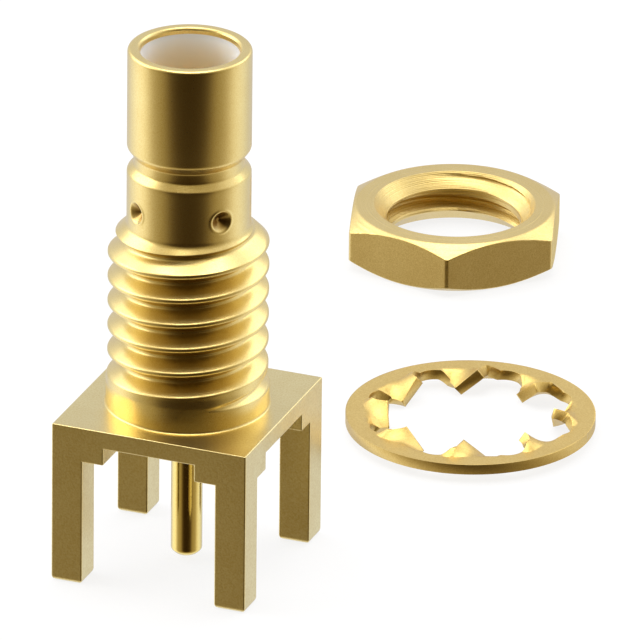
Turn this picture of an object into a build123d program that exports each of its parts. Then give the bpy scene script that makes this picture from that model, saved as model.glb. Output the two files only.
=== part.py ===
from build123d import *
import os
import math

# Coaxial push-fit jack with a threaded neck and a four-legged board foot,
# with its hex nut and its toothed lock washer lying beside it.
# Millimetres, +Z up. The origin is on the jack's axis, in the plane of the
# board that the foot's pads sit on: the legs and the tail pin reach below it.

# Foot: one square plate with a pad and a leg at each corner
base_width = 6.20
base_thickness = 0.56
pad_width = 1.65
pad_depth = 0.54
leg_width = 0.98
leg_length = 4.02
corner_radius = 0.07

# Turned body above the foot
collar_radius = 2.44
collar_height = 1.08
thread_radius = 2.40
thread_pitch = 0.794
thread_depth = 0.487
thread_flank_angle = 30.0
thread_crest_width = 0.10
thread_length = 4.15
thread_lead_angle = 45.0
neck_radius = 1.85
neck_length = 1.89
groove_radius = 1.65
groove_flat_height = 0.12
groove_flank_height = 0.26
groove_edge_chamfer = 0.06
barrel_length = 3.12
rim_outer_chamfer = 0.07
rim_inner_chamfer = 0.05

# Where the thread crest stands, measured over the plate at the +X side
thread_phase_height = 1.23
thread_end_angle = 40.0
run_out_angle = 90.0
run_out_overlap_angle = 3.0
run_out_stations = 9
blank_turn = 130.0

# How far a cutting tool reaches past the surface that it opens
cutter_margin = 0.02

# Bore of the body
mouth_radius = 1.48
tail_bore_radius = 1.15
tail_bore_length = 1.80

# Punched stakes that lock the insulator in the neck
stake_count = 4
stake_angle = -36.5
stake_below_rim = 4.92
stake_radius = 0.33
stake_depth = 0.24
stake_point_radius = 0.05

# White insulator
insulator_recess = 0.19
insulator_bore_radius = 1.32
insulator_lead_in = 0.14
insulator_bore_depth = 3.60

# Centre contact
contact_radius = 0.25
contact_below_rim = 1.55
contact_shoulder_below_rim = 5.20
contact_tip_radius = 0.13
contact_tip_length = 0.20
stem_radius = 0.70
tail_radius = 0.47
tail_above_leg_ends = 0.15
tip_chamfer = 0.14

# Hex nut
nut_width = 6.35
nut_height = 1.60
nut_chamfer_radius = 3.08
nut_chamfer_angle = 30.0
nut_bore_radius = 2.08
nut_sink_radius = 2.52
nut_thread_clearance = 0.05
nut_thread_angle = 100.0
nut_center = (-0.61, 23.92)
nut_turn = 47.1

# Internal tooth lock washer
washer_outer_radius = 3.81
washer_thickness = 0.32
tooth_count = 8
tooth_tip_radius = 2.50
tooth_middle_radius = 2.86
tooth_root_radius = 3.16
tooth_tip_width = 0.94
tooth_middle_width = 1.10
tooth_root_width = 1.34
tooth_tip_twist_angle = 41.0
tooth_middle_twist_angle = 22.0
tooth_root_thickness = 0.28
tooth_seat_length = 0.10
gullet_center_radius = 2.71
gullet_radius = 0.58
washer_center = (4.63, 11.65)
washer_turn = 21.74

# Levels that follow from the sizes above
base_top = pad_depth + base_thickness
collar_top = base_top + collar_height
thread_top = collar_top + thread_length
lead_height = (thread_radius - neck_radius) / math.tan(math.radians(thread_lead_angle))
neck_bottom = thread_top + lead_height
floor_z = -leg_length
groove_bottom = neck_bottom + neck_length
rim_z = groove_bottom + 2 * groove_flank_height + groove_flat_height + barrel_length


def corner_blocks(width, low, high):
    """Four square blocks, flush with the corners of the plate."""
    place = (base_width - width) / 2
    blocks = []
    for side_x in (-1, 1):
        for side_y in (-1, 1):
            block = Box(width, width, high - low)
            blocks.append(Pos(side_x * place, side_y * place, (low + high) / 2) * block)
    return blocks


def make_foot():
    """Plate, pads and legs with broken outer corners."""
    plate = Pos(0, 0, pad_depth + base_thickness / 2) * Box(base_width, base_width, base_thickness)
    foot = plate.fuse(*corner_blocks(pad_width, 0, pad_depth))
    foot = foot.fuse(*corner_blocks(leg_width, floor_z, pad_depth)).clean()
    nearest = base_width / 2 - corner_radius
    corners = [
        edge
        for edge in foot.edges().filter_by(Axis.Z)
        if min(abs(edge.center().X), abs(edge.center().Y)) > nearest
    ]
    return fillet(corners, corner_radius)


def groove_outline(reach, root_width):
    """Half-open groove section: the root at the left, the mouth at the right."""
    spread = abs(reach) * math.tan(math.radians(thread_flank_angle))
    return Polyline(
        (0, -root_width / 2),
        (reach, -root_width / 2 - spread),
        (reach, root_width / 2 + spread),
        (0, root_width / 2),
        close=True,
    )


def thread_cutter(root_radius, open_radius, crest_gap, pitch, start_z, start_angle, height):
    """A right-hand helical groove: crest_gap is its width at the root."""
    path = Helix(pitch, height, root_radius)
    plane = Plane(origin=(root_radius, 0, 0), x_dir=(1, 0, 0), z_dir=(0, -1, 0))
    section = plane * make_face(groove_outline(open_radius - root_radius, crest_gap))
    coil = sweep(section, path=path, is_frenet=True)
    return Pos(0, 0, start_z) * Rot(0, 0, start_angle) * coil


def run_out_cutter(root_radius, open_radius, root_width, start_z):
    """The end of the groove, where the cutter leaves the work along a spiral."""
    points = []
    for station in range(run_out_stations):
        share = station / (run_out_stations - 1)
        angle = share * (run_out_angle + run_out_overlap_angle)
        radius = root_radius + (open_radius - root_radius) * max(0.0, 1 - angle / run_out_angle)
        turn = math.radians(angle + thread_end_angle - run_out_angle)
        height = start_z + thread_pitch * (angle - run_out_angle) / 360
        points.append((radius * math.cos(turn), radius * math.sin(turn), height))
    path = Spline(*points)
    turn = math.radians(thread_end_angle - run_out_angle)
    outward = (math.cos(turn), math.sin(turn), 0)
    plane = Plane(origin=points[0], x_dir=outward, z_dir=path % 0)
    section = plane * make_face(groove_outline(open_radius - root_radius, root_width))
    return sweep(section, path=path, is_frenet=True)


def make_body():
    """Turned barrel, groove, neck, thread and collar in one piece with the foot."""
    groove_low = groove_bottom + groove_flank_height
    groove_high = groove_low + groove_flat_height
    groove_top = groove_high + groove_flank_height
    outline = Polyline(
        (0, pad_depth + base_thickness / 2),
        (collar_radius, pad_depth + base_thickness / 2),
        (collar_radius, collar_top),
        (thread_radius, collar_top),
        (thread_radius, thread_top),
        (neck_radius, neck_bottom),
        (neck_radius, groove_bottom - groove_edge_chamfer),
        (neck_radius - groove_edge_chamfer, groove_bottom + groove_edge_chamfer / 2),
        (groove_radius, groove_low),
        (groove_radius, groove_high),
        (neck_radius - groove_edge_chamfer, groove_top - groove_edge_chamfer / 2),
        (neck_radius, groove_top + groove_edge_chamfer),
        (neck_radius, rim_z - rim_outer_chamfer),
        (neck_radius - rim_outer_chamfer, rim_z),
        (0, rim_z),
        close=True,
    )
    turned = Rot(0, 0, blank_turn) * revolve(Plane.XZ * make_face(outline), Axis.Z)

    root_radius = thread_radius - thread_depth
    groove_open_radius = collar_radius + cutter_margin
    root_width = thread_pitch - thread_crest_width
    root_width -= 2 * thread_depth * math.tan(math.radians(thread_flank_angle))
    turn_share = thread_end_angle / 360
    start_z = base_top + thread_phase_height + thread_pitch / 2 - thread_pitch * (1 - turn_share)
    coil = thread_cutter(
        root_radius,
        groove_open_radius,
        root_width,
        thread_pitch,
        start_z,
        thread_end_angle,
        neck_bottom + thread_pitch / 2 - start_z,
    )
    turned = turned.cut(coil)
    turned = turned.cut(run_out_cutter(root_radius, groove_open_radius, root_width, start_z))

    body = make_foot().fuse(turned)
    shoulder = pad_depth + tail_bore_length
    body = body.cut(Pos(0, 0, (shoulder + rim_z) / 2) * Cylinder(mouth_radius, rim_z - shoulder))
    body = body.cut(Pos(0, 0, shoulder / 2) * Cylinder(tail_bore_radius, shoulder))
    lip = Cone(mouth_radius, mouth_radius + 2 * rim_inner_chamfer, 2 * rim_inner_chamfer)
    body = body.cut(Pos(0, 0, rim_z) * lip)
    for stake in stake_cones():
        body = body.cut(stake)
    return body


def stake_cones():
    """Conical punch marks round the neck."""
    cones = []
    for index in range(stake_count):
        angle = stake_angle + index * 360 / stake_count
        cone = Cone(stake_point_radius, stake_radius, stake_depth)
        placed = Pos(neck_radius - stake_depth / 2, 0, 0) * Rot(0, 90, 0) * cone
        cones.append(Pos(0, 0, rim_z - stake_below_rim) * Rot(0, 0, angle) * placed)
    return cones


def contact_profile():
    """Half section of the centre contact."""
    tip_z = rim_z - contact_below_rim
    shoulder_z = rim_z - contact_shoulder_below_rim
    tail_z = floor_z + tail_above_leg_ends
    outline = Polyline(
        (0, tip_z),
        (contact_tip_radius, tip_z),
        (contact_radius, tip_z - contact_tip_length),
        (contact_radius, shoulder_z),
        (stem_radius, shoulder_z),
        (stem_radius, pad_depth),
        (tail_radius, pad_depth),
        (tail_radius, tail_z + tip_chamfer),
        (tail_radius - tip_chamfer, tail_z),
        (0, tail_z),
        close=True,
    )
    return make_face(outline)


def make_contact():
    """Mating pin, thicker stem and tail in one turned piece."""
    return revolve(Plane.XZ * contact_profile(), Axis.Z)


def make_insulator(contact):
    """Stepped white bush that fills the bore and holds the contact."""
    top = rim_z - insulator_recess
    cavity = top - insulator_bore_depth
    shoulder = pad_depth + tail_bore_length
    bush = Pos(0, 0, (shoulder + top) / 2) * Cylinder(mouth_radius, top - shoulder)
    foot = Pos(0, 0, (pad_depth + shoulder) / 2) * Cylinder(tail_bore_radius, shoulder - pad_depth)
    bush = bush.fuse(foot)
    socket = Cylinder(insulator_bore_radius, top - cavity)
    bush = bush.cut(Pos(0, 0, (cavity + top) / 2) * socket)
    lead_in = Cone(insulator_bore_radius, insulator_bore_radius + insulator_lead_in, insulator_lead_in)
    bush = bush.cut(Pos(0, 0, top - insulator_lead_in / 2) * lead_in)
    return bush.cut(contact)


def make_nut():
    """Hexagon with both faces chamfered and a threaded bore."""
    corner_reach = nut_width / 2 / math.cos(math.radians(30))
    hexagon = RegularPolygon(corner_reach, 6)
    blank = Pos(0, 0, nut_height / 2) * extrude(hexagon, nut_height / 2, both=True)
    drop = (corner_reach - nut_chamfer_radius) * math.tan(math.radians(nut_chamfer_angle))
    outline = Polyline(
        (0, 0),
        (nut_chamfer_radius, 0),
        (corner_reach, drop),
        (corner_reach, nut_height - drop),
        (nut_chamfer_radius, nut_height),
        (0, nut_height),
        close=True,
    )
    nut = blank.intersect(revolve(Plane.XZ * make_face(outline), Axis.Z)).solid()
    nut = nut.cut(Pos(0, 0, nut_height / 2) * Cylinder(nut_bore_radius, nut_height))
    coil = thread_cutter(
        thread_radius + nut_thread_clearance,
        nut_bore_radius - cutter_margin,
        thread_crest_width,
        thread_pitch,
        -thread_pitch,
        nut_thread_angle,
        nut_height + 2 * thread_pitch,
    )
    nut = nut.cut(coil)
    for end_z, tilt in ((0, 180), (nut_height, 0)):
        nut = nut.cut(Pos(0, 0, end_z) * Rot(tilt, 0, 0) * nut_sink())
    return Pos(nut_center[0], nut_center[1], floor_z) * Rot(0, 0, nut_turn) * nut


def nut_sink():
    """A 45 degree countersink with its mouth in the plane z = 0."""
    depth = nut_sink_radius - nut_bore_radius + cutter_margin
    outline = Polyline(
        (0, -depth),
        (nut_sink_radius - depth, -depth),
        (nut_sink_radius + cutter_margin, cutter_margin),
        (0, cutter_margin),
        close=True,
    )
    return revolve(Plane.XZ * make_face(outline), Axis.Z)


def tooth_corners(radius, width, thickness, twist):
    """The four corners of a rectangle across a tooth, turned by its twist."""
    turn = math.radians(twist)
    corners = []
    for side, face in ((-1, -1), (1, -1), (1, 1), (-1, 1)):
        across = side * width / 2
        up = face * thickness / 2
        corner_y = across * math.cos(turn) + up * math.sin(turn)
        corner_z = up * math.cos(turn) - across * math.sin(turn)
        corners.append((radius, corner_y, corner_z))
    return corners


def flat_face(*corners):
    """A plane face with straight edges."""
    return Face(Wire.make_polygon([Vector(*corner) for corner in corners], close=True))


def make_tooth():
    """A tooth that leaves the ring flat and twists evenly to its tip."""
    sections = [
        tooth_corners(tooth_root_radius + tooth_seat_length, tooth_root_width, tooth_root_thickness, 0.0),
        tooth_corners(tooth_middle_radius, tooth_middle_width, washer_thickness, tooth_middle_twist_angle),
        tooth_corners(tooth_tip_radius, tooth_tip_width, washer_thickness, tooth_tip_twist_angle),
    ]
    faces = [flat_face(*sections[0]), flat_face(*sections[-1])]
    for outer, inner in zip(sections, sections[1:]):
        for index in range(4):
            following = (index + 1) % 4
            faces.append(flat_face(outer[index], outer[following], inner[following]))
            faces.append(flat_face(outer[index], inner[following], inner[index]))
    return Solid(Shell(faces))


def make_washer():
    """Flat ring with twisted teeth pointing inwards."""
    ring = Cylinder(washer_outer_radius, washer_thickness)
    ring = ring.cut(Cylinder(tooth_root_radius, washer_thickness * 2))
    for index in range(tooth_count):
        angle = (index + 0.5) * 360 / tooth_count
        gullet = Pos(gullet_center_radius, 0, 0) * Cylinder(gullet_radius, washer_thickness * 2)
        ring = ring.cut(Rot(0, 0, angle) * gullet)
    tooth = make_tooth()
    washer = ring
    for index in range(tooth_count):
        washer = washer.fuse(Rot(0, 0, index * 360 / tooth_count) * tooth)
    lowest = washer.bounding_box().min.Z
    place = Pos(washer_center[0], washer_center[1], floor_z - lowest)
    return place * Rot(0, 0, washer_turn) * washer


os.makedirs("parts", exist_ok=True)
contact = make_contact()
pieces = {
    "body": make_body(),
    "insulator": make_insulator(contact),
    "centre_contact": contact,
    "hex_nut": make_nut(),
    "lock_washer": make_washer(),
}
for name, piece in pieces.items():
    export_step(piece, f"parts/{name}.step")
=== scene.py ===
import bmesh
import bpy
import math
from mathutils import Matrix, Vector


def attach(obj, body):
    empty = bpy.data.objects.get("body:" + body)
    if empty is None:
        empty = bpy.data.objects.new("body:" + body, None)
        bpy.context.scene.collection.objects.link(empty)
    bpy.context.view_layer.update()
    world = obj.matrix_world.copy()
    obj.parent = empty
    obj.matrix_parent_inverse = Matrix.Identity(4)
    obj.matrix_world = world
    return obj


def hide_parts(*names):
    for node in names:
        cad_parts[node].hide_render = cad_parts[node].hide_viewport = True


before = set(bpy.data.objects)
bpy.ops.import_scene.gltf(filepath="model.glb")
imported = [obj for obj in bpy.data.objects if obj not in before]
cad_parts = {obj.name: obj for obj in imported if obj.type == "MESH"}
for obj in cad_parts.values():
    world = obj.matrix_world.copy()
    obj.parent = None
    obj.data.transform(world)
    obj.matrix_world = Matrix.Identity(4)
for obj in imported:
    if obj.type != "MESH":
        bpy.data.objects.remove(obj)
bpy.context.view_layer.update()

# Turned body: barrel, neck, thread and collar.
# Free-cutting brass bar, turned in one set-up on an automatic lathe and plated with gold.
# The rows of the surface follow the cut: level rings on the barrel and a helix on the thread.
mating_radius = 1.85
bore_radius = 1.48
bore_step_radius = 1.15
bore_step_height = 2.34
rim_height = 12.53
groove_radius = 1.65
groove_head = 9.42
groove_high = 9.15
groove_low = 8.85
groove_foot = 8.63
neck_seam = 8.47
neck_foot = 6.92
collar_radius = 2.44
collar_foot = 1.00
plate_top = 1.10
turned_columns = 288
stake_angles = [math.radians(-36.5 + 90 * index) for index in range(4)]
stake_height = 7.61
stake_mouth = 0.33
stake_depth = 0.24
stake_band = 0.42
stake_crowding = 0.15
punch_steepness = 1.18
mouth_rounding = 0.12
lip_height = 0.014
lip_offset = 0.03
lip_width = 0.035


def rounded(corners, steps=4):
    """Points of an outline; a corner's third number is how far back its rounding starts."""
    points = []
    for index, corner in enumerate(corners):
        here = Vector(corner[:2])
        if len(corner) < 3 or index in (0, len(corners) - 1):
            points.append(here)
            continue
        before = Vector(corners[index - 1][:2]) - here
        after = Vector(corners[index + 1][:2]) - here
        start = here + before.normalized() * min(corner[2], before.length * 0.45)
        end = here + after.normalized() * min(corner[2], after.length * 0.45)
        for step in range(steps + 1):
            share = step / steps
            points.append(start * (1 - share) ** 2 + here * 2 * share * (1 - share) + end * share ** 2)
    return points


def turn_rings(work, columns, angles, closed=False):
    """Adds a surface to a bmesh: one outline of (radius, height) for each angle about Z."""
    grid = []
    for angle, outline in zip(angles, columns):
        cosine, sine = math.cos(angle), math.sin(angle)
        grid.append([work.verts.new((p[0] * cosine, p[0] * sine, p[1])) for p in outline])
    rows = len(grid[0])
    for column in range(len(grid)):
        one, two = grid[column], grid[(column + 1) % len(grid)]
        for row in range(rows if closed else rows - 1):
            above = (row + 1) % rows
            work.faces.new((one[row], two[row], two[above], one[above]))
    return grid


def finish_mesh(work, name, sharp_angle=35.0):
    """Closes seams and poles, points the faces outwards and gives the mesh smooth shading."""
    bmesh.ops.remove_doubles(work, verts=work.verts, dist=1e-4)
    bmesh.ops.dissolve_degenerate(work, edges=work.edges, dist=1e-5)
    bmesh.ops.recalc_face_normals(work, faces=work.faces)
    mesh = bpy.data.meshes.new(name)
    work.to_mesh(mesh)
    work.free()
    mesh.polygons.foreach_set("use_smooth", [True] * len(mesh.polygons))
    mesh.set_sharp_from_angle(angle=math.radians(sharp_angle))
    return mesh


def plain_mesh(item):
    """The object's shape with its modifiers applied, as a mesh without them or empty slots."""
    bpy.context.view_layer.update()
    graph = bpy.context.evaluated_depsgraph_get()
    mesh = bpy.data.meshes.new_from_object(item.evaluated_get(graph))
    item.modifiers.clear()
    while mesh.materials and mesh.materials[0] is None:
        mesh.materials.pop(index=0)
    return mesh


def settle(mesh, name, centre=(0, 0, 0), turn=0.0):
    """Makes a piece from a mesh drawn in millimetres and puts its place into its points."""
    place = Matrix.Translation(centre) @ Matrix.Rotation(math.radians(turn), 4, "Z")
    mesh.transform(Matrix.Scale(0.001, 4) @ place)
    item = bpy.data.objects.new(name, mesh)
    bpy.context.scene.collection.objects.link(item)
    return item


def add_node(tree, kind, inputs=None, **settings):
    """Adds a node with its settings; an input is a value, or the socket that it is linked from."""
    made = tree.nodes.new(kind)
    for name, value in settings.items():
        setattr(made, name, value)
    for key, value in (inputs or {}).items():
        if isinstance(value, bpy.types.NodeSocket):
            tree.links.new(value, made.inputs[key])
        else:
            made.inputs[key].default_value = value
    return made


def add_sums(tree, known, steps):
    """Works out named values one after another: (name, operation, terms by name or number)."""
    for name, operation, *terms in steps:
        inputs = {index: known.get(term, term) for index, term in enumerate(terms)}
        known[name] = add_node(tree, "ShaderNodeMath", inputs, operation=operation).outputs[0]


def linear(hex_colour):
    """An sRGB hex colour as the linear values that a shader takes."""
    parts = [int(hex_colour[index:index + 2], 16) / 255 for index in (1, 3, 5)]
    return [p / 12.92 if p <= 0.04045 else ((p + 0.055) / 1.055) ** 2.4 for p in parts] + [1.0]


def gold_plate(
    name, bright, deep, roughness, marks, mark_width, grain, grain_width, centre=(0, 0, 0)
):
    """Gold plate over machined brass, in millimetres about a centre.

    The plate is too thin to fill the marks under it: fine rings from the tool, marks deep and
    mark_width apart, and a grain from the bath, grain deep and grain_width wide, that spreads
    the reflections. Where the plate is thinner its colour goes from bright to deep, and where
    the hollow attribute marks a punched dent, a darker brown is painted in as the dent's shade.
    """
    material = bpy.data.materials.new(name)
    material.use_nodes = True
    tree = material.node_tree
    tree.nodes.clear()
    place = add_node(tree, "ShaderNodeTexCoord").outputs["Object"]
    local = add_node(
        tree,
        "ShaderNodeMapping",
        {"Vector": place, "Location": [-1000 * c for c in centre], "Scale": (1000, 1000, 1000)},
    ).outputs[0]
    along = add_node(tree, "ShaderNodeSeparateXYZ", {0: local}).outputs
    flat = add_node(tree, "ShaderNodeVectorMath", {0: local, 1: (1, 1, 0)}, operation="MULTIPLY")
    reach = add_node(tree, "ShaderNodeVectorMath", {0: flat.outputs[0]}, operation="LENGTH")
    known = {"radius": reach.outputs["Value"], "height": along["Z"]}
    add_sums(tree, known, (("travel", "ADD", "radius", "height"),))
    rings = add_node(
        tree,
        "ShaderNodeTexNoise",
        {"W": known["travel"], "Scale": 1 / mark_width, "Detail": 2.0, "Roughness": 0.6},
        noise_dimensions="1D",
    )
    pores = add_node(
        tree,
        "ShaderNodeTexNoise",
        {"Vector": local, "Scale": 1 / grain_width, "Detail": 3.0},
    )
    cloud = add_node(tree, "ShaderNodeTexNoise", {"Vector": local, "Scale": 1.1, "Detail": 4.0})
    ring_bump = add_node(
        tree,
        "ShaderNodeBump",
        {"Height": rings.outputs[0], "Distance": marks * 0.001, "Strength": 1.0},
    )
    pore_bump = add_node(
        tree,
        "ShaderNodeBump",
        {
            "Height": pores.outputs[0],
            "Distance": grain * 0.001,
            "Strength": 1.0,
            "Normal": ring_bump.outputs[0],
        },
    )
    known.update({"cloud": cloud.outputs[0], "pores": pores.outputs[0]})
    add_sums(tree, known, (
        ("thin", "MULTIPLY", "cloud", 0.6),
        ("speckled", "MULTIPLY_ADD", "pores", 1.8, "thin"),
    ))
    shade = add_node(
        tree,
        "ShaderNodeMapRange",
        {"Value": known["speckled"], "From Min": 0.8, "From Max": 1.6, "To Min": 0.0, "To Max": 1.0},
    )
    colour = add_node(
        tree,
        "ShaderNodeMix",
        {"Factor": shade.outputs[0], 6: linear(bright), 7: linear(deep)},
        data_type="RGBA",
    )
    # Painted shade: inside the punched dents the colour is mixed towards a darker brown
    hollow = add_node(tree, "ShaderNodeAttribute", attribute_name="hollow").outputs["Fac"]
    dent_shaded = add_node(
        tree,
        "ShaderNodeMix",
        {"Factor": hollow, 6: colour.outputs[2], 7: linear("#b8995a")},
        data_type="RGBA",
    )
    matt = add_node(
        tree,
        "ShaderNodeMapRange",
        {"Value": pores.outputs[0], "To Min": roughness - 0.04, "To Max": roughness + 0.04},
    )
    shader = add_node(
        tree,
        "ShaderNodeBsdfPrincipled",
        {
            "Base Color": dent_shaded.outputs[2],
            "Metallic": 1.0,
            "Roughness": matt.outputs[0],
            "Normal": pore_bump.outputs[0],
        },
    )
    add_node(tree, "ShaderNodeOutputMaterial", {"Surface": shader.outputs[0]})
    return material


def thread_tree():
    """A flat strip, repeated Turns times up the axis and wrapped into a screw thread.

    The strip's rows climb with the helix by Slope: 1 follows it, 0 keeps them level. Bottom and
    Top cut the band off. Sense is 1 for a thread on a shaft and -1 for one in a hole. The groove
    starts at Start angle and deepens over Run-out. Cones of 45 degrees open from the end radii,
    and a fillet joins the upper cone to the shaft above it. Below Collar top the crests widen to
    the collar over Collar taper. Flank slope is the tangent of the flank's angle.
    """
    tree = bpy.data.node_groups.new("screw thread", "GeometryNodeTree")
    tree.interface.new_socket("Strip", in_out="INPUT", socket_type="NodeSocketGeometry")
    for name in ("Slope", "Bottom", "Top", "Pitch", "Sense", "Crest radius", "Root radius",
                 "Root half width", "Low end", "High end", "Low radius", "High radius",
                 "Collar radius", "Collar top", "Collar taper", "Groove height", "Start angle",
                 "Run-out", "Flank slope", "Edge rounding", "Root rounding", "Fillet"):
        tree.interface.new_socket(name, in_out="INPUT", socket_type="NodeSocketFloat")
    tree.interface.new_socket("Turns", in_out="INPUT", socket_type="NodeSocketInt")
    tree.interface.new_socket("Plate", in_out="INPUT", socket_type="NodeSocketMaterial")
    tree.interface.new_socket("Thread", in_out="OUTPUT", socket_type="NodeSocketGeometry")
    given = add_node(tree, "NodeGroupInput").outputs
    spacing = add_node(tree, "ShaderNodeCombineXYZ", {"Z": given["Pitch"]}).outputs[0]
    turns = add_node(tree, "GeometryNodeMeshLine", {"Count": given["Turns"], "Offset": spacing})
    strips = add_node(
        tree,
        "GeometryNodeInstanceOnPoints",
        {"Points": turns.outputs[0], "Instance": given["Strip"]},
    )
    flat = add_node(tree, "GeometryNodeRealizeInstances", {0: strips.outputs[0]}).outputs[0]
    place = add_node(tree, "GeometryNodeInputPosition").outputs[0]
    across = add_node(tree, "ShaderNodeSeparateXYZ", {0: place}).outputs
    known = {socket.name: socket for socket in given if socket.name}
    known.update({"angle": across["X"], "row": across["Z"]})
    taper = add_node(
        tree,
        "ShaderNodeMapRange",
        {"To Min": given["Collar radius"], "To Max": given["Crest radius"]},
        interpolation_type="SMOOTHSTEP",
    )
    add_sums(tree, known, (
        ("rise", "DIVIDE", "Pitch", math.tau),
        ("climb", "MULTIPLY", "angle", "rise"),
        ("free height", "MULTIPLY_ADD", "climb", "Slope", "row"),
        ("floored height", "MAXIMUM", "free height", "Bottom"),
        ("height", "MINIMUM", "floored height", "Top"),
        ("past start", "SUBTRACT", "angle", "Start angle"),
        ("groove climb", "MULTIPLY_ADD", "past start", "rise", "Groove height"),
        ("over groove", "SUBTRACT", "height", "groove climb"),
        ("grooves", "DIVIDE", "over groove", "Pitch"),
        ("turn", "ROUND", "grooves"),
        ("off groove", "SUBTRACT", "grooves", "turn"),
        ("off side", "ABSOLUTE", "off groove"),
        ("off centre", "MULTIPLY", "off side", "Pitch"),
        ("way", "MULTIPLY_ADD", "turn", math.tau, "past start"),
        ("way share", "DIVIDE", "way", "Run-out"),
        ("way floored", "MAXIMUM", "way share", 0.0),
        ("cut", "MINIMUM", "way floored", 1.0),
        ("open radius", "ADD", "Collar radius", "Edge rounding"),
        ("depth", "SUBTRACT", "Root radius", "open radius"),
        ("cut radius", "MULTIPLY_ADD", "depth", "cut", "open radius"),
        ("signed root", "MULTIPLY", "cut radius", "Sense"),
        ("flank reach", "SUBTRACT", "off centre", "Root half width"),
        ("flank", "DIVIDE", "flank reach", "Flank slope"),
        ("wall", "SMOOTH_MAX", "flank", 0.0, "Root rounding"),
        ("groove", "ADD", "signed root", "wall"),
        ("taper low", "SUBTRACT", "Collar top", "Collar taper"),
    ))
    for socket, name in (("Value", "height"), ("From Min", "taper low"), ("From Max", "Collar top")):
        tree.links.new(known[name], taper.inputs[socket])
    known["crest"] = taper.outputs[0]
    add_sums(tree, known, (
        ("signed crest", "MULTIPLY", "crest", "Sense"),
        ("threaded", "SMOOTH_MIN", "signed crest", "groove", "Edge rounding"),
        ("signed high", "MULTIPLY", "High radius", "Sense"),
        ("below high", "SUBTRACT", "High end", "height"),
        ("high cone", "ADD", "signed high", "below high"),
        ("led", "SMOOTH_MIN", "threaded", "high cone", "Edge rounding"),
        ("signed low", "MULTIPLY", "Low radius", "Sense"),
        ("above low", "SUBTRACT", "height", "Low end"),
        ("low cone", "ADD", "signed low", "above low"),
        ("shaped", "SMOOTH_MIN", "led", "low cone", "Edge rounding"),
        ("joined", "SMOOTH_MAX", "shaped", "signed high", "Fillet"),
        ("radius", "MULTIPLY", "joined", "Sense"),
        ("cosine", "COSINE", "angle"),
        ("sine", "SINE", "angle"),
        ("x", "MULTIPLY", "radius", "cosine"),
        ("y", "MULTIPLY", "radius", "sine"),
    ))
    round_it = add_node(
        tree,
        "ShaderNodeCombineXYZ",
        {"X": known["x"], "Y": known["y"], "Z": known["height"]},
    ).outputs[0]
    wrapped = add_node(tree, "GeometryNodeSetPosition", {"Geometry": flat, "Position": round_it})
    joined = add_node(
        tree,
        "GeometryNodeMergeByDistance",
        {"Geometry": wrapped.outputs[0], "Distance": 1e-4},
    )
    plated = add_node(
        tree,
        "GeometryNodeSetMaterial",
        {"Geometry": joined.outputs[0], "Material": given["Plate"]},
    )
    add_node(tree, "NodeGroupOutput", {0: plated.outputs[0]})
    return tree


def cut_thread(tree, angles, offsets, first_row, values):
    """The thread as a plain mesh: draws the flat strip and runs the tree on it."""
    work = bmesh.new()
    grid = [[work.verts.new((a, 0, first_row + offset)) for offset in offsets] for a in angles]
    for one, two in zip(grid, grid[1:]):
        for row in range(len(offsets) - 1):
            work.faces.new((one[row], two[row], two[row + 1], one[row + 1]))
    strip = bpy.data.meshes.new("strip")
    work.to_mesh(strip)
    work.free()
    item = bpy.data.objects.new("strip", strip)
    bpy.context.scene.collection.objects.link(item)
    modifier = item.modifiers.new("thread", "NODES")
    modifier.node_group = tree
    sockets = {socket.name: socket.identifier for socket in tree.interface.items_tree}
    for name, value in values.items():
        modifier[sockets[name]] = value
    mesh = plain_mesh(item)
    bpy.data.objects.remove(item)
    return mesh


def column_angle(share):
    """Angles of the surface's columns, closest together at the punched stakes."""
    angle = math.tau * share
    return angle - stake_crowding * math.sin(4 * (angle - stake_angles[0]))


def staked_radius(angle, height):
    """The neck's radius: a cone is punched in at each stake, with a low lip thrown up round it."""
    radius, hollow = mating_radius, 0.0
    for stake in stake_angles:
        aside = (angle - stake + math.pi) % math.tau - math.pi
        off = math.hypot(aside * mating_radius, height - stake_height)
        if off < 3 * stake_mouth:
            inside = max(0.0, 1 - off / stake_mouth)
            hollow = min(1.0, inside * 2.5)
            dip = stake_depth * min(1.0, inside * punch_steepness)
            dip *= 1 - 0.5 * math.exp(-((inside / mouth_rounding) ** 2))
            lip = lip_height * math.exp(-(((off - stake_mouth - lip_offset) / lip_width) ** 2))
            radius += lip - dip
    return radius, hollow


shares = [index / turned_columns for index in range(turned_columns)]
turned_angles = [column_angle(share) for share in shares]
body_work = bmesh.new()
hollow_layer = body_work.verts.layers.float.new("hollow")

barrel_outline = rounded([
    (mating_radius, neck_seam),
    (mating_radius, groove_foot, 0.05),
    (groove_radius, groove_low, 0.05),
    (groove_radius, groove_high, 0.04),
    (mating_radius, groove_head, 0.06),
    (mating_radius, rim_height, 0.12),
    (bore_radius + 0.06, rim_height, 0.05),
    (bore_radius, rim_height - 0.07, 0.03),
    (bore_radius, bore_step_height),
    (bore_step_radius, bore_step_height),
    (bore_step_radius, collar_foot),
    (collar_radius, collar_foot),
], 5)
turn_rings(body_work, [barrel_outline] * turned_columns, turned_angles)

# The neck's rows are closest together in the band that the stakes are punched in
neck_rows = [stake_height - stake_band + 0.02 * step for step in range(43)]
neck_gap = neck_seam - neck_rows[-1]
neck_rows += [neck_rows[-1] + neck_gap * step / 8 for step in range(1, 9)]
neck_columns = [
    [(staked_radius(angle, height)[0], height) for height in neck_rows]
    for angle in turned_angles
]
neck_grid = turn_rings(body_work, neck_columns, turned_angles)
# Each point's hollow share marks how far inside a dent it lies, where the plate paints the dent's
# shade
for column, angle in zip(neck_grid, turned_angles):
    for vert, height in zip(column, neck_rows):
        vert[hollow_layer] = staked_radius(angle, height)[1]

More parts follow.
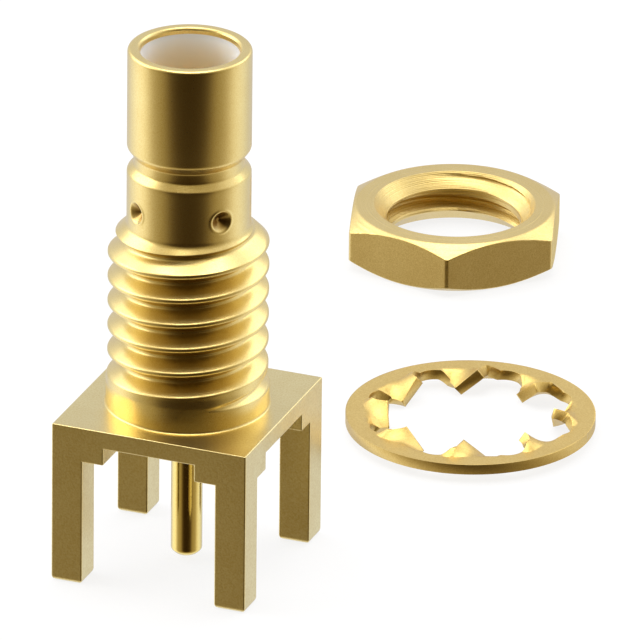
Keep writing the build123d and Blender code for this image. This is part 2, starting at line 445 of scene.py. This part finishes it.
# The tool's nose leaves a small fillet where the collar meets the foot, sunk a hair into the plate
nose_radius = 0.075
nose_sunk = 0.005
nose_outline = []
for step in range(7):
    turn = math.radians(15 * step)
    nose_outline.append((
        collar_radius + nose_radius * (1 - math.sin(turn)),
        plate_top - nose_sunk + nose_radius * (1 - math.cos(turn)),
    ))
turn_rings(body_work, [nose_outline] * turned_columns, turned_angles)

# Turned and plated: a soft mirror, with tool rings too fine to count that smear it along the axis
satin_gold_turned = gold_plate(
    "satin gold plate on turned brass",
    bright="#f4de95",
    deep="#e5c97b",
    roughness=0.29,
    marks=0.0008,
    mark_width=0.05,
    grain=0.0014,
    grain_width=0.035,
)

thread = {
    "Pitch": 0.794,
    "Sense": 1.0,
    "Crest radius": 2.40,
    "Root radius": 1.913,
    "Root half width": 0.066,
    "Low end": collar_foot,
    "High end": neck_foot,
    "Low radius": 3.50,
    "High radius": mating_radius,
    "Collar radius": collar_radius,
    "Collar top": 2.18,
    "Collar taper": 0.30,
    "Groove height": 1.825,
    "Start angle": math.radians(-60),
    "Run-out": math.radians(100),
    "Flank slope": math.tan(math.radians(30)),
    "Edge rounding": 0.045,
    "Root rounding": 0.18,
    "Fillet": 0.11,
}

# Rows of one turn, from the groove's middle to the crest's: closest together round the crest's edge
half_pitch = thread["Pitch"] / 2
half_rows = (0.0, 0.03, 0.06, 0.09, 0.13, 0.18, 0.24, 0.285, 0.315, 0.34, 0.368, half_pitch)
thread_rows = [-offset for offset in reversed(half_rows[1:])] + list(half_rows)
first_row = thread["Groove height"] - 2 * thread["Pitch"]
first_row -= thread["Pitch"] * thread["Start angle"] / math.tau
screw_thread = thread_tree()

# Above and below the climbing rows lie level ones, fine where the run-out and the neck's foot are
band_low = 2.72
band_high = 5.95
band_top = neck_rows[0]
low_rows = [collar_foot, 1.2] + [1.42 + 0.026 * step for step in range(51)]
high_rows = [band_high + 0.03 * step for step in range(10)]
high_rows += [band_high + 0.30 + 0.0105 * step for step in range(60)]
high_rows += [band_top - 0.024 * step for step in range(12, -1, -1)]
for rows, offset, turns, limits in (
    (low_rows, 0.0, 1, {"Slope": 0.0, "Bottom": collar_foot, "Top": band_low}),
    (thread_rows, first_row, 10, {"Slope": 1.0, "Bottom": band_low, "Top": band_high}),
    (high_rows, 0.0, 1, {"Slope": 0.0, "Bottom": band_high, "Top": band_top}),
):
    band = cut_thread(
        screw_thread,
        turned_angles + [turned_angles[0] + math.tau],
        rows,
        offset,
        {**thread, **limits, "Turns": turns, "Plate": satin_gold_turned},
    )
    body_work.from_mesh(band)
turned_body = settle(finish_mesh(body_work, "turned_body", 75.0), "turned_body")
turned_body.data.materials.append(satin_gold_turned)
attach(turned_body, "root")
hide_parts("body")

# Foot: square plate with a pad and a square leg at each corner.
# Milled from the same bar as the body, so it is the same metal under the same plate.
# The cutter leaves it matter than the lathe does, and tumbling has broken its edges.
foot_width = 6.20
pad_width = 1.65
leg_width = 0.98
leg_end = -4.02
pad_top = 0.54
leg_end_rounding = 0.14
plate_edge_share = 0.3
hole_margin = 0.3
hole_columns = 96

half = foot_width / 2
half_marks = [half - pad_width, half - leg_width, half]
marks_across = [-mark for mark in reversed(half_marks)] + half_marks
levels = [leg_end, 0.0, pad_top, plate_top]


def in_foot(column, row, level):
    """Whether a cell of the foot is metal."""
    if not (0 <= column < 5 and 0 <= row < 5 and 0 <= level < 3):
        return False
    if level == 2:
        return True
    at_corner = (0, 4) if level == 0 else (0, 1, 3, 4)
    return column in at_corner and row in at_corner


foot_work = bmesh.new()
foot_verts = {}


def foot_vert(column, row, level):
    """The foot's vertex at a crossing of its levels and marks, made once."""
    key = (column, row, level)
    if key not in foot_verts:
        foot_verts[key] = foot_work.verts.new((marks_across[column], marks_across[row], levels[level]))
    return foot_verts[key]


for column in range(5):
    for row in range(5):
        for level in range(3):
            if not in_foot(column, row, level):
                continue
            for axis in range(3):
                for side in (0, 1):
                    beside = [column, row, level]
                    beside[axis] += 2 * side - 1
                    if in_foot(*beside):
                        continue
                    ring = []
                    for first, second in ((0, 0), (1, 0), (1, 1), (0, 1)):
                        corner = [column, row, level]
                        corner[axis] += side
                        corner[(axis + 1) % 3] += first
                        corner[(axis + 2) % 3] += second
                        ring.append(foot_vert(*corner))
                    foot_work.faces.new(ring)

# The plate's edges are nearly sharp, and the legs' ends are rounded more, to find their holes
bmesh.ops.recalc_face_normals(foot_work, faces=foot_work.faces)
edge_share = foot_work.edges.layers.float.new("bevel_weight_edge")
for edge in foot_work.edges:
    if edge.calc_face_angle() > 1.0:
        at_end = max(vert.co.z for vert in edge.verts) < leg_end + 0.01
        edge[edge_share] = 1.0 if at_end else plate_edge_share
foot_mesh = finish_mesh(foot_work, "milled_foot", 30.0)
milled_foot = bpy.data.objects.new("milled_foot", foot_mesh)
bpy.context.scene.collection.objects.link(milled_foot)

# The body's lower bore goes on through the plate
drill_work = bmesh.new()
drill_outline = [
    (0, pad_top - hole_margin),
    (bore_step_radius, pad_top - hole_margin),
    (bore_step_radius, plate_top + hole_margin),
    (0, plate_top + hole_margin),
]
drill_angles = [math.tau * index / hole_columns for index in range(hole_columns)]
turn_rings(drill_work, [drill_outline] * hole_columns, drill_angles)
drill = bpy.data.objects.new("drill", finish_mesh(drill_work, "drill"))
bpy.context.scene.collection.objects.link(drill)
edges = milled_foot.modifiers.new("edges", "BEVEL")
edges.width = leg_end_rounding
edges.segments = 4
edges.limit_method = "WEIGHT"
hole = milled_foot.modifiers.new("hole", "BOOLEAN")
hole.operation = "DIFFERENCE"
hole.object = drill
milled_foot.modifiers.new("flats", "WEIGHTED_NORMAL")
foot_mesh = plain_mesh(milled_foot)
bpy.data.objects.remove(drill)
bpy.data.objects.remove(milled_foot)
milled_foot = settle(foot_mesh, "milled_foot")

# Milled and tumbled: no rings, a fine even grain that reads as a soft beige sheen
satin_gold_milled = gold_plate(
    "satin gold plate on milled brass",
    bright="#f0dfa2",
    deep="#e1ca86",
    roughness=0.31,
    marks=0.0,
    mark_width=0.05,
    grain=0.0044,
    grain_width=0.055,
)
milled_foot.data.materials.append(satin_gold_milled)
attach(milled_foot, "root")
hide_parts("body")

# Insulator: stepped bush that fills the body's bore and carries the centre contact.
# White fluoropolymer, turned from rod and pressed in: waxy, a little see-through, with no gloss.
# Only its mouth shows, and further down its colour is painted warmer and darker: a painted glow of
# light from the gold walls, and painted shade.
insulator_top = 12.34
socket_radius = 1.32
socket_lead = 0.14
socket_floor = 8.74
stem_radius = 0.70
contact_radius = 0.25
stem_top = 7.33
lead_depth = 0.90
lead_steps = 12
press_gap = 0.002
# How far down the socket the painted glow and shade reach
painted_glow_depth = 1.3
round_columns = 160

# The socket opens gently towards its mouth
lead_outline = []
for step in range(1, lead_steps + 1):
    share = step / lead_steps
    lead_outline.append((
        socket_radius + socket_lead * share ** 4,
        insulator_top - lead_depth * (1 - share),
    ))
insulator_outline = rounded([
    (contact_radius, socket_floor),
    (socket_radius, socket_floor),
    (socket_radius, insulator_top - lead_depth),
    *lead_outline,
    (bore_radius - press_gap, insulator_top),
    (bore_radius - press_gap, bore_step_height + press_gap),
    (bore_step_radius - press_gap, bore_step_height + press_gap),
    (bore_step_radius - press_gap, pad_top, 0.03),
    (stem_radius, pad_top),
    (stem_radius, stem_top),
    (contact_radius, stem_top),
])
round_angles = [math.tau * index / round_columns for index in range(round_columns)]
insulator_work = bmesh.new()
turn_rings(insulator_work, [insulator_outline] * round_columns, round_angles, closed=True)
insulator = settle(finish_mesh(insulator_work, "insulator"), "insulator")

# Turned from rod: waxy and matt, with a faint swirl from the tool, and a painted warm glow and shade
# where it is deep
fluoropolymer = bpy.data.materials.new("white fluoropolymer, turned")
fluoropolymer.use_nodes = True
tree = fluoropolymer.node_tree
tree.nodes.clear()
place = add_node(tree, "ShaderNodeTexCoord").outputs["Object"]
local = add_node(
    tree,
    "ShaderNodeMapping",
    {"Vector": place, "Scale": (1000, 1000, 1000)},
).outputs[0]
cloud = add_node(
    tree,
    "ShaderNodeTexNoise",
    {"Vector": local, "Scale": 2.0, "Detail": 3.0},
).outputs[0]
swirl = add_node(
    tree,
    "ShaderNodeTexWave",
    {"Vector": local, "Scale": 3.0, "Distortion": 1.0},
    wave_type="RINGS",
    rings_direction="Z",
).outputs[1]
tint = add_node(
    tree,
    "ShaderNodeMix",
    {"Factor": cloud, 6: linear("#fdf9f5"), 7: linear("#f9f3ec")},
    data_type="RGBA",
).outputs[2]
# Painted light: down the socket the colour turns to a darker, warmer tint, a painted glow from the
# gold walls and painted shade
height = add_node(tree, "ShaderNodeSeparateXYZ", {0: local}).outputs["Z"]
depth = add_node(
    tree,
    "ShaderNodeMapRange",
    {"Value": height, "From Min": insulator_top, "From Max": insulator_top - painted_glow_depth},
).outputs[0]
tint = add_node(
    tree,
    "ShaderNodeMix",
    {"Factor": depth, 6: tint, 7: linear("#f2dbae")},
    data_type="RGBA",
).outputs[2]
swirl_bump = add_node(
    tree,
    "ShaderNodeBump",
    {"Height": swirl, "Distance": 4e-6, "Strength": 0.6},
).outputs[0]
shader = add_node(
    tree,
    "ShaderNodeBsdfPrincipled",
    {
        "Base Color": tint,
        "Roughness": 0.55,
        "IOR": 1.38,
        "Subsurface Weight": 0.5,
        "Subsurface Radius": (1.0, 0.75, 0.6),
        "Subsurface Scale": 0.0005,
        "Normal": swirl_bump,
    },
)
add_node(tree, "ShaderNodeOutputMaterial", {"Surface": shader.outputs[0]})
insulator.data.materials.append(fluoropolymer)
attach(insulator, "root")
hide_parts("insulator")

# Centre contact: mating pin inside the mouth, thick stem in the insulator, tail below the foot.
# Turned brass, burnished before plating, so the tail mirrors what stands round it in thin lines.
contact_tip = 10.98
tip_radius = 0.13
tip_length = 0.20
tail_end = -3.87
tail_radius = 0.47
tail_chamfer = 0.14
contact_outline = rounded([
    (0, contact_tip),
    (tip_radius, contact_tip, 0.05),
    (contact_radius, contact_tip - tip_length, 0.08),
    (contact_radius, stem_top),
    (stem_radius, stem_top),
    (stem_radius, pad_top, 0.03),
    (tail_radius, pad_top),
    (tail_radius, tail_end + tail_chamfer, 0.06),
    (tail_radius - tail_chamfer, tail_end, 0.05),
    (0, tail_end),
])
contact_work = bmesh.new()
turn_rings(contact_work, [contact_outline] * round_columns, round_angles)
centre_contact = settle(finish_mesh(contact_work, "centre_contact"), "centre_contact")

# Burnished before plating: close to a mirror, with the faintest rings
polished_gold = gold_plate(
    "polished gold plate on turned brass",
    bright="#f0d886",
    deep="#e8cd77",
    roughness=0.14,
    marks=0.0004,
    mark_width=0.04,
    grain=0.0002,
    grain_width=0.05,
)
centre_contact.data.materials.append(polished_gold)
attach(centre_contact, "root")
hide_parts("centre_contact")

# Hex nut: thin panel nut, laid flat beside the jack.
# Cut from drawn hexagon bar, whose corners are a little round, then bored, threaded and
# chamfered on the lathe, which leaves rings on its faces and none on its six sides.
nut_height = 1.60
nut_flats = 6.35
corner_half = 0.8
nut_corner_radius = nut_flats / 2 / math.cos(math.radians(30 - corner_half))
nut_face_radius = 3.08
nut_sink_radius = 2.52
nut_bore_radius = 2.08
nut_centre = (-0.61, 23.92, leg_end)
nut_turn = 47.1
nut_columns = 240
nut_angles = [math.tau * index / nut_columns for index in range(nut_columns)]
for corner in range(6):
    nut_angles += [math.radians(60 * corner + side * corner_half) % math.tau for side in (-1, 1)]
nut_angles.sort()


def nut_outline(angle):
    """Half section of the nut at one angle, from the lower sink out and up to the upper one."""
    aside = angle % math.radians(60) - math.radians(30)
    reach = min(nut_flats / 2 / math.cos(aside), nut_corner_radius)
    drop = (reach - nut_face_radius) * math.tan(math.radians(30))
    return rounded([
        (nut_sink_radius, 0),
        (nut_face_radius, 0, 0.05),
        (reach, drop, 0.035),
        (reach, nut_height - drop, 0.035),
        (nut_face_radius, nut_height, 0.05),
        (nut_sink_radius, nut_height),
    ])


# Turned faces: rings from the facing tool, drawn as coarse as they need to show; their colours are
# painted darker than the sides' as painted shade
bright_gold_nut = gold_plate(
    "bright gold plate on machined brass",
    # Painted shade: these colours are set darker than the six sides' own
    bright="#e8cf8a",
    deep="#dfc376",
    roughness=0.36,
    marks=0.0120,
    mark_width=0.06,
    grain=0.0016,
    grain_width=0.05,
    centre=[c * 0.001 for c in nut_centre],
)

nut_work = bmesh.new()
turn_rings(nut_work, [nut_outline(angle) for angle in nut_angles], nut_angles)
nut_thread = dict(thread)
nut_thread.update({
    "Sense": -1.0,
    "Crest radius": nut_bore_radius,
    "Root radius": 2.45,
    "Root half width": 0.05,
    "Low end": 0.0,
    "High end": nut_height,
    "Low radius": nut_sink_radius,
    "High radius": nut_sink_radius,
    "Collar radius": nut_bore_radius,
    "Groove height": -4 * thread["Pitch"],
    "Start angle": math.radians(100),
    "Fillet": 0.0,
    "Slope": 1.0,
    "Bottom": 0.0,
    "Top": nut_height,
    "Turns": 6,
    "Plate": bright_gold_nut,
})
nut_first_row = nut_thread["Groove height"] + 2 * thread["Pitch"]
nut_first_row -= thread["Pitch"] * nut_thread["Start angle"] / math.tau
nut_work.from_mesh(
    cut_thread(screw_thread, nut_angles + [math.tau], thread_rows, nut_first_row, nut_thread)
)
hex_nut = settle(finish_mesh(nut_work, "hex_nut", 32.0), "hex_nut", nut_centre, nut_turn)
hex_nut.data.materials.append(bright_gold_nut)

# The six sides keep the skin of the drawn bar, so they are matter and have no rings
drawn_gold_nut = gold_plate(
    "gold plate on drawn brass",
    bright="#f2de9b",
    deep="#e2c87d",
    roughness=0.78,
    marks=0.0,
    mark_width=0.05,
    grain=0.0024,
    grain_width=0.04,
    centre=[c * 0.001 for c in nut_centre],
)
hex_nut.data.materials.append(drawn_gold_nut)
nut_middle = Vector(nut_centre) * 0.001
for face in hex_nut.data.polygons:
    off = ((face.center - nut_middle) * 1000).xy
    past_corner = (math.degrees(math.atan2(off.y, off.x)) - nut_turn + 30) % 60 - 30
    upright = abs(face.normal.z) < 0.2
    if upright and off.length > nut_flats / 2 - 0.1 and abs(past_corner) > corner_half:
        face.material_index = 1
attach(hex_nut, "root")
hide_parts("hex_nut")

# Lock washer: flat ring with eight teeth that point inwards, laid flat beside the jack.
# Stamped from thin spring bronze: round notches leave the teeth, and the press then twists
# each one, which stretches the metal bright at its fold. Barrel plated, so matt all over.
washer_outer = 3.81
washer_thickness = 0.32
washer_centre = (4.63, 11.65, -3.591)
washer_turn = 21.74
tooth_count = 8
notch_radius = 0.58
notch_reach = 2.71
notch_end = math.radians(-88)
tooth_tip = 2.50
tooth_twist = 41.0
fold_start = 3.20
fold_half_width = 0.90
fold_fade = 0.30
tip_columns = 8
notch_columns = 22
sheet_rows = 26

# One tooth's sector in plan: each column runs from the rim to the tip or to the notch's edge
half_sector = math.pi / tooth_count
notch_middle = Vector((notch_reach * math.cos(half_sector), notch_reach * math.sin(half_sector)))
tip_half = notch_middle.y + notch_radius * math.sin(notch_end)
ends = [Vector((tooth_tip, tip_half * index / tip_columns)) for index in range(tip_columns + 1)]
for index in range(1, notch_columns + 1):
    turn = notch_end + (half_sector - notch_end) * index / notch_columns
    ends.append(notch_middle + notch_radius * Vector((math.cos(turn), math.sin(turn))))
ends = [Vector((end.x, -end.y)) for end in reversed(ends[1:])] + ends
last = len(ends) - 1
washer_work = bmesh.new()
sheet = []
for index, end in enumerate(ends):
    turn = half_sector * (2 * index / last - 1)
    rim = washer_outer * Vector((math.cos(turn), math.sin(turn)))
    points = [rim.lerp(end, row / sheet_rows) for row in range(sheet_rows + 1)]
    sheet.append([washer_work.verts.new((*point, 0)) for point in points])
for one, two in zip(sheet, sheet[1:]):
    for row in range(sheet_rows):
        washer_work.faces.new((one[row], one[row + 1], two[row + 1], two[row]))

# The twist starts at the fold and grows towards the tip; the notches' floors stay flat
for vert in washer_work.verts:
    way = min(1.0, max(0.0, (fold_start - vert.co.x) / (fold_start - tooth_tip)))
    hold = min(1.0, max(0.0, (fold_half_width - abs(vert.co.y)) / fold_fade))
    twist = math.radians(tooth_twist) * way * (1.6 - 0.6 * way) * hold
    vert.co = Vector((vert.co.x, vert.co.y * math.cos(twist), -vert.co.y * math.sin(twist)))
washer_mesh = bpy.data.meshes.new("sector")
washer_work.to_mesh(washer_mesh)
washer_work.free()

# Barrel plated and tumbled: matt, with a fine even grain and no rings
matt_gold_washer = gold_plate(
    "barrel gold plate on stamped bronze",
    bright="#e6c97b",
    deep="#d6b565",
    roughness=0.42,
    marks=0.0,
    mark_width=0.05,
    grain=0.0034,
    grain_width=0.045,
    centre=[c * 0.001 for c in washer_centre],
)

# The tree turns Count copies of the sector about Z and joins them into one ring
ring_tree = bpy.data.node_groups.new("ring of sectors", "GeometryNodeTree")
ring_tree.interface.new_socket("Sector", in_out="INPUT", socket_type="NodeSocketGeometry")
ring_tree.interface.new_socket("Count", in_out="INPUT", socket_type="NodeSocketInt")
ring_tree.interface.new_socket("Plate", in_out="INPUT", socket_type="NodeSocketMaterial")
ring_tree.interface.new_socket("Ring", in_out="OUTPUT", socket_type="NodeSocketGeometry")
given = add_node(ring_tree, "NodeGroupInput").outputs
spots = add_node(
    ring_tree,
    "GeometryNodeMeshLine",
    {"Count": given["Count"], "Offset": (0, 0, 0)},
).outputs[0]
known = {"index": add_node(ring_tree, "GeometryNodeInputIndex").outputs[0], "Count": given["Count"]}
add_sums(ring_tree, known, (
    ("step", "DIVIDE", math.tau, "Count"),
    ("turn", "MULTIPLY", "index", "step"),
))
turns = add_node(ring_tree, "ShaderNodeCombineXYZ", {"Z": known["turn"]}).outputs[0]
copies = add_node(
    ring_tree,
    "GeometryNodeInstanceOnPoints",
    {"Points": spots, "Instance": given["Sector"], "Rotation": turns},
).outputs[0]
real = add_node(ring_tree, "GeometryNodeRealizeInstances", {0: copies}).outputs[0]
merged = add_node(
    ring_tree,
    "GeometryNodeMergeByDistance",
    {"Geometry": real, "Distance": 1e-4},
).outputs[0]
plated = add_node(
    ring_tree,
    "GeometryNodeSetMaterial",
    {"Geometry": merged, "Material": given["Plate"]},
).outputs[0]
add_node(ring_tree, "NodeGroupOutput", {0: plated})
washer_item = bpy.data.objects.new("sector", washer_mesh)
bpy.context.scene.collection.objects.link(washer_item)
repeat = washer_item.modifiers.new("repeat", "NODES")
repeat.node_group = ring_tree
sockets = {socket.name: socket.identifier for socket in ring_tree.interface.items_tree}
repeat[sockets["Count"]] = tooth_count
repeat[sockets["Plate"]] = matt_gold_washer

# The sheet gets its thickness, and barrelling has rolled its edges
wall = washer_item.modifiers.new("wall", "SOLIDIFY")
wall.thickness = washer_thickness
wall.offset = 0.0
wall.use_even_offset = True
roll = washer_item.modifiers.new("roll", "BEVEL")
roll.width = 0.035
roll.segments = 2
roll.limit_method = "ANGLE"
roll.angle_limit = math.radians(50)
roll.harden_normals = True
washer_mesh = plain_mesh(washer_item)
bpy.data.objects.remove(washer_item)
washer_mesh.polygons.foreach_set("use_smooth", [True] * len(washer_mesh.polygons))
washer_mesh.set_sharp_from_angle(angle=math.radians(40))
lock_washer = settle(washer_mesh, "lock_washer", washer_centre, washer_turn)
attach(lock_washer, "root")
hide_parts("lock_washer")

# Studio: white paper sweep inside a tent of white cloth, lit by four soft boxes.
# The metal mirrors all of it: the tent's lit sides are the barrel's two bright bands, and the
# dark band between them is the tent's opening and the unlit room behind the camera.
camera_yaw = math.radians(21.7406)
toward = Vector((math.sin(camera_yaw), -math.cos(camera_yaw), 0))
floor_height = leg_end * 0.001

# The paper keeps the shadows; to the camera it is almost white, and mirrors see past it
floor_work = bmesh.new()
bmesh.ops.create_circle(floor_work, cap_ends=True, radius=1.2, segments=64)
bmesh.ops.translate(floor_work, verts=floor_work.verts, vec=(0, 0, floor_height - 1e-6))
floor_mesh = bpy.data.meshes.new("floor")
floor_work.to_mesh(floor_mesh)
floor_work.free()
floor = bpy.data.objects.new("floor", floor_mesh)
bpy.context.scene.collection.objects.link(floor)
paper = bpy.data.materials.new("white paper sweep")
paper.use_nodes = True
tree = paper.node_tree
tree.nodes.clear()
paths = add_node(tree, "ShaderNodeLightPath").outputs
matt = add_node(tree, "ShaderNodeBsdfDiffuse", {"Color": (0.80, 0.80, 0.80, 1)}).outputs[0]
glow = add_node(tree, "ShaderNodeEmission", {"Color": (1, 1, 1, 1), "Strength": 1.05}).outputs[0]
lift = add_node(
    tree,
    "ShaderNodeMath",
    {0: paths["Is Camera Ray"], 1: 0.80},
    operation="MULTIPLY",
).outputs[0]
mixed = add_node(tree, "ShaderNodeMixShader", {0: lift, 1: matt, 2: glow}).outputs[0]
through = add_node(tree, "ShaderNodeBsdfTransparent").outputs[0]
sheer = add_node(
    tree,
    "ShaderNodeMixShader",
    {0: paths["Is Glossy Ray"], 1: mixed, 2: through},
).outputs[0]
add_node(tree, "ShaderNodeOutputMaterial", {"Surface": sheer})
floor.data.materials.append(paper)

# The tent's light by direction: -1 is the wall behind the object, 1 is the side of the camera
tent_stops = (
    (-1.00, (0.68, 0.70, 0.83)),
    (-0.63, (0.76, 0.80, 0.94)),
    (-0.38, (1.00, 1.05, 1.22)),
    (-0.12, (1.05, 1.07, 1.18)),
    (0.06, (0.93, 0.90, 0.87)),
    (0.25, (0.62, 0.55, 0.44)),
    (0.38, (0.45, 0.39, 0.26)),
    (0.57, (0.39, 0.322, 0.18)),
    (0.68, (0.27, 0.205, 0.11)),
    (0.76, (0.08, 0.052, 0.022)),
    (0.84, (0.030, 0.017, 0.006)),
    (1.00, (0.030, 0.017, 0.006)),
)
world = bpy.data.worlds.new("studio")
bpy.context.scene.world = world
world.use_nodes = True
tree = world.node_tree
tree.nodes.clear()
paths = add_node(tree, "ShaderNodeLightPath").outputs
way = add_node(tree, "ShaderNodeTexCoord").outputs["Generated"]
facing = add_node(
    tree,
    "ShaderNodeVectorMath",
    {0: way, 1: toward},
    operation="DOT_PRODUCT",
).outputs["Value"]
spread = add_node(
    tree,
    "ShaderNodeMapRange",
    {"Value": facing, "From Min": -1.0, "From Max": 1.0},
).outputs[0]
tent = add_node(tree, "ShaderNodeValToRGB", {"Fac": spread})
while len(tent.color_ramp.elements) < len(tent_stops):
    tent.color_ramp.elements.new(0.5)
for stop, (place, colour) in zip(tent.color_ramp.elements, tent_stops):
    stop.position = (place + 1) / 2
for stop, (place, colour) in zip(tent.color_ramp.elements, tent_stops):
    stop.color = (*colour, 1.0)
behind = add_node(
    tree,
    "ShaderNodeMix",
    {"Factor": paths["Is Camera Ray"], 6: tent.outputs[0], 7: (1, 1, 1, 1)},
    data_type="RGBA",
).outputs[2]

# A white card low on the left lifts that side of the tent by a quarter
card_turn = camera_yaw + math.radians(-112)
card_level = math.radians(-24)
card_way = (
    math.sin(card_turn) * math.cos(card_level),
    -math.cos(card_turn) * math.cos(card_level),
    math.sin(card_level),
)
near_card = add_node(
    tree,
    "ShaderNodeVectorMath",
    {0: way, 1: card_way},
    operation="DOT_PRODUCT",
).outputs["Value"]
card = add_node(
    tree,
    "ShaderNodeMapRange",
    {"Value": near_card, "From Min": 0.80, "From Max": 0.95, "To Min": 1.0, "To Max": 1.24},
    interpolation_type="SMOOTHSTEP",
).outputs[0]
sky = add_node(tree, "ShaderNodeBackground", {"Color": behind, "Strength": card}).outputs[0]
add_node(tree, "ShaderNodeOutputWorld", {"Surface": sky})


def soft_box(name, azimuth, height, width, tall, away, glare, aim=(0.002, 0.006, 0.004)):
    """A soft box aimed at the object: azimuth from the camera, height as an angle, both in degrees.

    Width, tall and away are in metres, and glare is the radiance of its face.
    """
    data = bpy.data.lights.new(name, "AREA")
    data.shape = "RECTANGLE"
    data.size, data.size_y = width, tall
    data.energy = glare * math.pi * width * tall
    item = bpy.data.objects.new(name, data)
    turn = camera_yaw + math.radians(azimuth)
    level = math.radians(height)
    flat = Vector((math.sin(turn), -math.cos(turn), 0)) * math.cos(level)
    out = flat + Vector((0, 0, math.sin(level)))
    item.location = Vector(aim) + out * away
    item.rotation_euler = out.to_track_quat("Z", "Y").to_euler()
    bpy.context.scene.collection.objects.link(item)


soft_box("top_box", azimuth=-150, height=86, width=0.46, tall=0.46, away=0.55, glare=2.4)
soft_box("left_box", azimuth=-104, height=29, width=0.46, tall=0.34, away=0.55, glare=1.9)
soft_box("rear_box", azimuth=-140, height=38, width=0.26, tall=0.26, away=0.55, glare=1.0)
soft_box("right_box", azimuth=132, height=36, width=0.34, tall=0.26, away=0.55, glare=1.4)

# Camera: long lens on a stand, fitted to the jack's own edges and axis in the photo.
# It stands out from a point on the axis, turned so that the point is where the photo has it.
image_width = 640
axis_column = 188.634
axis_row = 246.862
focal_pixels = 15531.56
camera_elevation = math.radians(24.1486)
camera_roll = math.radians(0.4108)
camera_away = 0.46042
axis_point = Vector((0, 0, 0.0061))

camera_data = bpy.data.cameras.new("camera")
camera_data.sensor_width = 36.0
camera_data.lens = focal_pixels * camera_data.sensor_width / image_width
camera = bpy.data.objects.new("camera", camera_data)
out = toward * math.cos(camera_elevation) + Vector((0, 0, math.sin(camera_elevation)))
level_right = Vector((math.cos(camera_yaw), math.sin(camera_yaw), 0))
level_up = out.cross(level_right)
right = level_right * math.cos(camera_roll) + level_up * math.sin(camera_roll)
up = level_up * math.cos(camera_roll) - level_right * math.sin(camera_roll)
middle = image_width / 2
forward = -out * focal_pixels + right * (middle - axis_column) - up * (middle - axis_row)
forward.normalize()
right = (right - forward * right.dot(forward)).normalized()
up = right.cross(forward)
facing_out = Matrix((right, up, -forward)).transposed().to_4x4()
camera.matrix_world = Matrix.Translation(axis_point + out * camera_away) @ facing_out
camera_data.clip_start = 0.05
camera_data.clip_end = 5.0
bpy.context.scene.collection.objects.link(camera)
bpy.context.scene.camera = camera
bpy.context.scene.view_settings.view_transform = "Standard"
